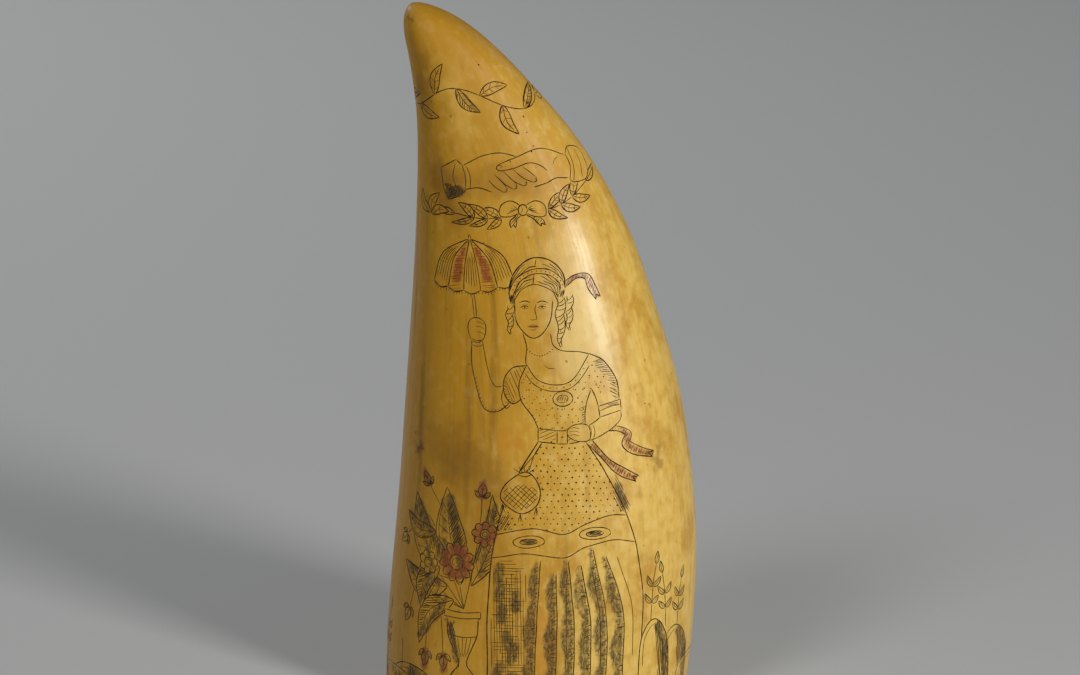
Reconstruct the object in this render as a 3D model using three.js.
// A scrimshaw whale tooth: one solid of sperm whale ivory, sawn flat at the root so that it stands upright,
// with the open pulp cavity that every such tooth has in its root.
// Millimetres, +Z up. The origin is in the plane of the sawn root, under the middle of the tooth's width and
// depth. The engraved broad side faces -Y, and the tip hooks over to -X.

import * as THREE from 'three';

// Overall size of the tooth.
const HEIGHT = 152;
const WIDTH = 67;
const DEPTH = 43;

// How far the tip stands back from the root, seen from the narrow side.
const TIP_SET_BACK = 2.4;

// The blunt worn tip: the height of its dome.
const TIP_DOME = 9;

// The pulp cavity: the wall left round its mouth in the sawn root, and its height up to its point.
const ROOT_WALL = 9;
const CAVITY_HEIGHT = 46;

// How the sections are rounded: 2 is an ellipse, and more is fuller at the corners.
const SECTION_FULLNESS = 2.2;
const CAVITY_FULLNESS = 2;

// Facets round the tooth, and rings up its outside and up the cavity.
const FACETS = 48;
const OUTER_RINGS = 40;
const CAVITY_RINGS = 10;

// The broad side's two edges: height as a share of HEIGHT, and place across as a share of WIDTH.
// Near the tip they are the edges that the dome then rounds off.
const HOLLOW_EDGE_SHARES = [
  [0, -0.500], [0.11, -0.4925], [0.34, -0.448], [0.57, -0.413], [0.72, -0.395],
  [0.83, -0.3945], [0.90, -0.412], [0.95, -0.434], [1, -0.472],
];
const ROUND_EDGE_SHARES = [
  [0, 0.466], [0.11, 0.490], [0.226, 0.500], [0.34, 0.481], [0.456, 0.438],
  [0.57, 0.363], [0.686, 0.268], [0.80, 0.119], [0.90, -0.072], [0.95, -0.190], [1, -0.318],
];

// The narrow side's half depth: height as a share of HEIGHT, and half depth as a share of DEPTH.
const HALF_DEPTH_SHARES = [
  [0, 0.488], [0.16, 0.500], [0.34, 0.478], [0.57, 0.392], [0.80, 0.272], [0.92, 0.198], [1, 0.150],
];

// A smooth curve through knots [at, value], read at any place between the first and the last.
function through(knots, at) {
  const last = knots.length - 1;
  let i = 0;
  while (i < last - 1 && at > knots[i + 1][0]) i += 1;
  const slope = (k) => {
    const before = knots[Math.max(k - 1, 0)];
    const after = knots[Math.min(k + 1, last)];
    return (after[1] - before[1]) / (after[0] - before[0]);
  };
  const [from, low] = knots[i];
  const [to, high] = knots[i + 1];
  const step = to - from;
  const t = (at - from) / step;
  const rise = t * t * (3 - 2 * t);
  return low + (high - low) * rise
    + step * slope(i) * t * (1 - t) * (1 - t)
    - step * slope(i + 1) * t * t * (1 - t);
}

// How much of the full section is left at a height inside the tip's dome: 1 below it, 0 at the very tip.
function domeShare(z) {
  const into = Math.max(0, (z - (HEIGHT - TIP_DOME)) / TIP_DOME);
  return Math.sqrt(Math.max(0, 1 - into * into));
}

// The outer section at a height: its centre and its half width and half depth.
function outerSection(z) {
  const share = z / HEIGHT;
  const hollow = WIDTH * through(HOLLOW_EDGE_SHARES, share);
  const round = WIDTH * through(ROUND_EDGE_SHARES, share);
  const dome = domeShare(z);
  return {
    z,
    x: (hollow + round) / 2,
    y: TIP_SET_BACK * share ** 3,
    halfWidth: dome * (round - hollow) / 2,
    halfDepth: dome * DEPTH * through(HALF_DEPTH_SHARES, share),
  };
}

// The cavity's section at a height: the root's own section, less the wall, drawn in to a point at the top.
function cavitySection(z) {
  const root = outerSection(0);
  const outer = outerSection(z);
  const left = 1 - (z / CAVITY_HEIGHT) ** 1.5;
  return {
    z,
    x: outer.x,
    y: outer.y,
    halfWidth: left * (root.halfWidth - ROOT_WALL),
    halfDepth: left * (root.halfDepth - ROOT_WALL),
  };
}

// The points of one ring, from the +X side round by +Y.
function ring(section, fullness) {
  const points = [];
  for (let i = 0; i < FACETS; i += 1) {
    const angle = (2 * Math.PI * i) / FACETS;
    const c = Math.cos(angle);
    const s = Math.sin(angle);
    points.push(new THREE.Vector3(
      section.x + section.halfWidth * Math.sign(c) * Math.abs(c) ** (2 / fullness),
      section.y + section.halfDepth * Math.sign(s) * Math.abs(s) ** (2 / fullness),
      section.z,
    ));
  }
  return points;
}

// Heights of the outer rings, evenly spaced on the flank and closing up over the dome.
function outerHeights() {
  const flank = HEIGHT - TIP_DOME;
  const domeRings = 8;
  const heights = [];
  for (let i = 0; i <= OUTER_RINGS - domeRings; i += 1) {
    heights.push((flank * i) / (OUTER_RINGS - domeRings));
  }
  for (let i = 1; i < domeRings; i += 1) {
    heights.push(flank + TIP_DOME * Math.sin((Math.PI / 2) * (i / domeRings)));
  }
  return heights;
}

function cavityHeights() {
  return Array.from({ length: CAVITY_RINGS }, (_, i) => (CAVITY_HEIGHT * i) / CAVITY_RINGS);
}

// The closed surface of the tooth: cavity point, cavity wall, sawn root, outside, tip.
function toothGeometry() {
  const cavityTop = cavitySection(CAVITY_HEIGHT);
  const tip = outerSection(HEIGHT);
  const rings = [
    ...cavityHeights().reverse().map((z) => ring(cavitySection(z), CAVITY_FULLNESS)),
    ...outerHeights().map((z) => ring(outerSection(z), SECTION_FULLNESS)),
  ];
  const points = [new THREE.Vector3(cavityTop.x, cavityTop.y, CAVITY_HEIGHT), ...rings.flat()];
  points.push(new THREE.Vector3(tip.x, tip.y, HEIGHT));

  const at = (row, i) => 1 + row * FACETS + (i % FACETS);
  const top = points.length - 1;
  const index = [];
  for (let i = 0; i < FACETS; i += 1) {
    index.push(0, at(0, i + 1), at(0, i));
    for (let row = 0; row < rings.length - 1; row += 1) {
      index.push(at(row, i), at(row, i + 1), at(row + 1, i + 1));
      index.push(at(row, i), at(row + 1, i + 1), at(row + 1, i));
    }
    index.push(at(rings.length - 1, i), at(rings.length - 1, i + 1), top);
  }

  const geometry = new THREE.BufferGeometry().setFromPoints(points);
  geometry.setIndex(index);
  geometry.computeVertexNormals();
  return geometry;
}

const ivory = new THREE.MeshStandardMaterial({ color: 0xd2ab5c, roughness: 0.38, metalness: 0 });

const tooth = new THREE.Mesh(toothGeometry(), ivory);
tooth.name = 'whale_tooth';

const scrimshaw = new THREE.Group();
scrimshaw.add(tooth);

export default scrimshaw;
